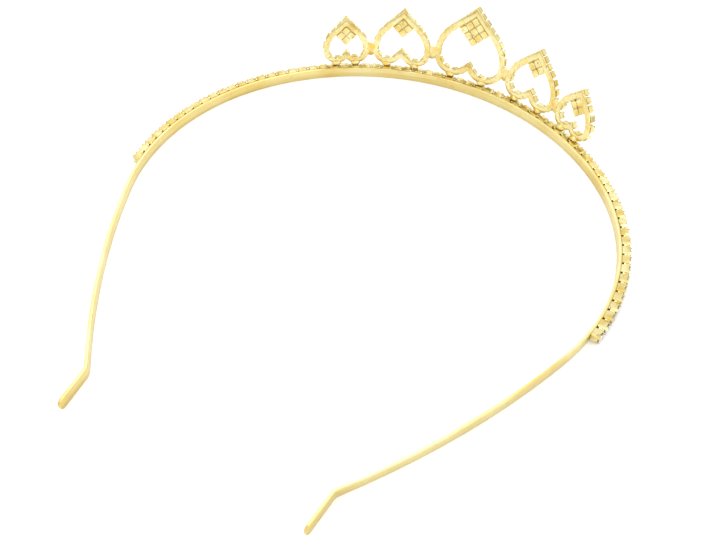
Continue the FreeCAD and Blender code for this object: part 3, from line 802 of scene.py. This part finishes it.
# ---------------------------------------------------------------- the stones of the hearts
# The same foiled glass stones in the smaller size, 1.5 mm across, in every cup of the rows and
# of the diamonds.
heart_stone = cut_stone(HEART_CUP_WIDTH, HEART_CUP_DEPTH)
for name in HEARTS:
    for moves, part in ((row_moves, "_heart_stones"), (diamond_moves, "_heart_diamond_stones")):
        places = [move @ Matrix.Rotation(hand.uniform(0, math.pi), 4, "Z")
                  for move in moves[name]]
        piece_name = name + part.replace("_heart_", "_heart_cut_")
        hand_over(lay_out(heart_stone, places), piece_name, None, "glass_stones", name + part)
put_away(heart_stone)

# ---------------------------------------------------------------- the solder of the hearts
# A flat drop where two hearts touch at their widest, and one under each lobe that holds it to
# the top of the chain. They're laid on by hand, so no two are alike.
JOINT_RADIUS = 1.5 * MM
JOINT_COVER = 0.2 * MM
SEAT_RADIUS = 1.0 * MM
SEAT_RISE = 0.8 * MM
SEAT_SINK = 0.3 * MM
SEAT_TWIST = 0.4
FIRST_JOINT_SEED = 20
SEAT_SEED = 40
# a drop spreads along the wire more than across it
joint_shape = Matrix.Diagonal((2.2 * JOINT_RADIUS, 2.9 * JOINT_RADIUS,
                               JOINT_COVER + FRAME_THICKNESS, 1))
seat_shape = Matrix.Diagonal((2.8 * SEAT_RADIUS, 1.9 * SEAT_RADIUS,
                              HEART_SEAT_GAP + SEAT_RISE + SEAT_SINK, 1))

kinds = list(HEARTS.values())
joints = []
for (kind, turn), (next_kind, next_turn) in zip(kinds, kinds[1:]):
    inside = FRAME_THICKNESS / 2
    here = heart_place(turn) @ Vector((HEART_HALF_WIDTH[kind], LOBE_RADIUS[kind], inside))
    there = heart_place(next_turn) @ Vector((-HEART_HALF_WIDTH[next_kind],
                                             LOBE_RADIUS[next_kind], inside))
    between_turn = (turn + next_turn) / 2
    joints.append(stand((here + there) / 2, heading(between_turn), UPWARDS,
                        outward(between_turn)) @ joint_shape)
drops = [solder_drop(FIRST_JOINT_SEED + number) for number in range(len(joints))]
pieces = [lay_out(drop, [place]) for drop, place in zip(drops, joints)]
let_go()
for piece in pieces:
    piece.select_set(True)
bpy.context.view_layer.objects.active = pieces[0]
bpy.ops.object.join()
hand_over(bpy.context.object, "solder_between_hearts", solder_gold, "gold_solder",
          "heart_joint_solder")
for drop in drops:
    put_away(drop)

drop = solder_drop(SEAT_SEED)
places = []
for kind, turn in kinds:
    lobe_x = heart_lines(kind)[2].x
    for side in (-1, 1):
        foot = heart_place(turn) @ Vector((side * lobe_x, 0, FRAME_THICKNESS / 2))
        foot.z = CHAIN_TOP + (HEART_SEAT_GAP + SEAT_RISE) / 2
        places.append(stand(foot, heading(turn), outward(turn), -UPWARDS)
                      @ Matrix.Rotation(hand.uniform(-SEAT_TWIST, SEAT_TWIST), 4, "Z")
                      @ seat_shape)
hand_over(lay_out(drop, places), "solder_under_lobes", solder_gold, "gold_solder",
          "heart_seat_solder")
put_away(drop)

# ---------------------------------------------------------------- the floor
# A plain white table top, far larger than the tiara. It glows faintly, so that it stays white
# where the band shades it.
FLOOR_SIDE = 4
FLOOR_GLOW = 0.15
bpy.ops.mesh.primitive_plane_add(size=FLOOR_SIDE, location=(0, 0, -0.02 * MM))
floor = bpy.context.object
floor.name = "floor"
paper = Finish("white_table", Roughness=0.9)
paper.finish((0.8, 0.8, 0.8, 1), 0.9)
paper.shader.inputs["Emission Color"].default_value = (1.0, 1.0, 1.0, 1)
paper.shader.inputs["Emission Strength"].default_value = FLOOR_GLOW
floor.data.materials.append(paper.material)

# ---------------------------------------------------------------- the light
# A bright room, darkest near the horizon, with one large soft box above the tiara and a smaller
# one at its side.
room = bpy.data.worlds.new("room")
bpy.context.scene.world = room
room.use_nodes = True
sky = room.node_tree.nodes["Background"]
direction = room.node_tree.nodes.new("ShaderNodeTexCoord")
height = room.node_tree.nodes.new("ShaderNodeSeparateXYZ")
shade = room.node_tree.nodes.new("ShaderNodeValToRGB")
for place, grey in ((0.02, 0.50), (0.09, 0.45), (0.20, 0.90), (0.60, 1.05)):
    stop = shade.color_ramp.elements.new(place)
    stop.color = (grey, grey, grey, 1)
shade.color_ramp.elements[0].color = (0.5, 0.5, 0.5, 1)
shade.color_ramp.elements[-1].color = (1, 1, 1, 1)
things = room.node_tree.nodes.new("ShaderNodeTexNoise")
things.inputs["Scale"].default_value = 3.2
things.inputs["Detail"].default_value = 1.5
uneven = room.node_tree.nodes.new("ShaderNodeMapRange")
for socket, number in (("From Min", 0.38), ("From Max", 0.56), ("To Min", 0.72), ("To Max", 1.0)):
    uneven.inputs[socket].default_value = number
both = room.node_tree.nodes.new("ShaderNodeMix")
both.data_type = "RGBA"
both.blend_type = "MULTIPLY"
link = room.node_tree.links.new
link(direction.outputs["Generated"], height.inputs["Vector"])
link(direction.outputs["Generated"], things.inputs["Vector"])
link(height.outputs["Z"], shade.inputs["Fac"])
link(things.outputs["Fac"], uneven.inputs["Value"])
link(shade.outputs["Color"], both.inputs[6])
link(uneven.outputs["Result"], both.inputs[7])
link(height.outputs["Z"], both.inputs[0])
link(both.outputs[2], sky.inputs["Color"])
sky.inputs["Strength"].default_value = 1.55


def soft_box(name, place, aim, width, watts):
    lamp = bpy.data.lights.new(name, "AREA")
    lamp.shape = "SQUARE"
    lamp.size = width
    lamp.energy = watts
    box = bpy.data.objects.new(name, lamp)
    bpy.context.collection.objects.link(box)
    box.location = place
    box.rotation_euler = (Vector(place) - Vector(aim)).to_track_quat("Z", "Y").to_euler()


soft_box("box_above", (0.25, -0.2, 0.7), (0, 0.06, 0), 0.45, 1.8)
soft_box("box_beside", (-0.7, 0.2, 0.35), (0, 0.06, 0), 0.3, 0.8)

# ---------------------------------------------------------------- the camera
# It stands behind the wearer's right shoulder, looks down at the tiara and is tilted a little.
# Its place and lens were worked out from the tiara's symmetry.
AIM = Vector((-6.40 * MM, 72.92 * MM, 0))
ROUND, ABOVE, TILT = -0.467, 0.831, 0.024
DISTANCE = 198.54 * MM
back = Vector((math.sin(ROUND) * math.cos(ABOVE), math.cos(ROUND) * math.cos(ABOVE),
               math.sin(ABOVE)))
level = (-back).cross(UPWARDS).normalized()
over = level.cross(-back)
sideways = level * math.cos(TILT) + over * math.sin(TILT)
top = over * math.cos(TILT) - level * math.sin(TILT)
lens = bpy.data.cameras.new("camera")
lens.sensor_width = 36
lens.lens = 43.94
lens.clip_start = 0.01
camera = bpy.data.objects.new("camera", lens)
bpy.context.collection.objects.link(camera)
camera.matrix_world = stand(AIM + back * DISTANCE, sideways, top, back)
bpy.context.scene.camera = camera
bpy.context.scene.view_settings.view_transform = "Standard"
